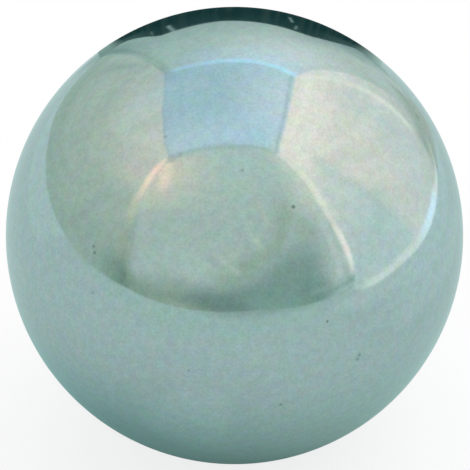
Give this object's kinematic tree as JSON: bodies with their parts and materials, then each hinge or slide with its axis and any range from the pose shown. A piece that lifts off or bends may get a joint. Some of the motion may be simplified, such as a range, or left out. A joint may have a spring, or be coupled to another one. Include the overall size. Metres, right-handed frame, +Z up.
{
  "type": "steel ball",
  "caption": "Plain solid steel ball with a mirror-polished surface, for a socket, race, cup or cradle, or as a small weight.",
  "frame": {"origin": "centre of the ball", "axes": "+Z up, with the seat at the lowest point on -Z; the ball is the same about every axis"},
  "size_m": [0.025, 0.025, 0.025],
  "materials": {
    "steel": "polished"
  },
  "bodies": {
    "root": {"ball": "steel"}
  },
  "joints": []
}
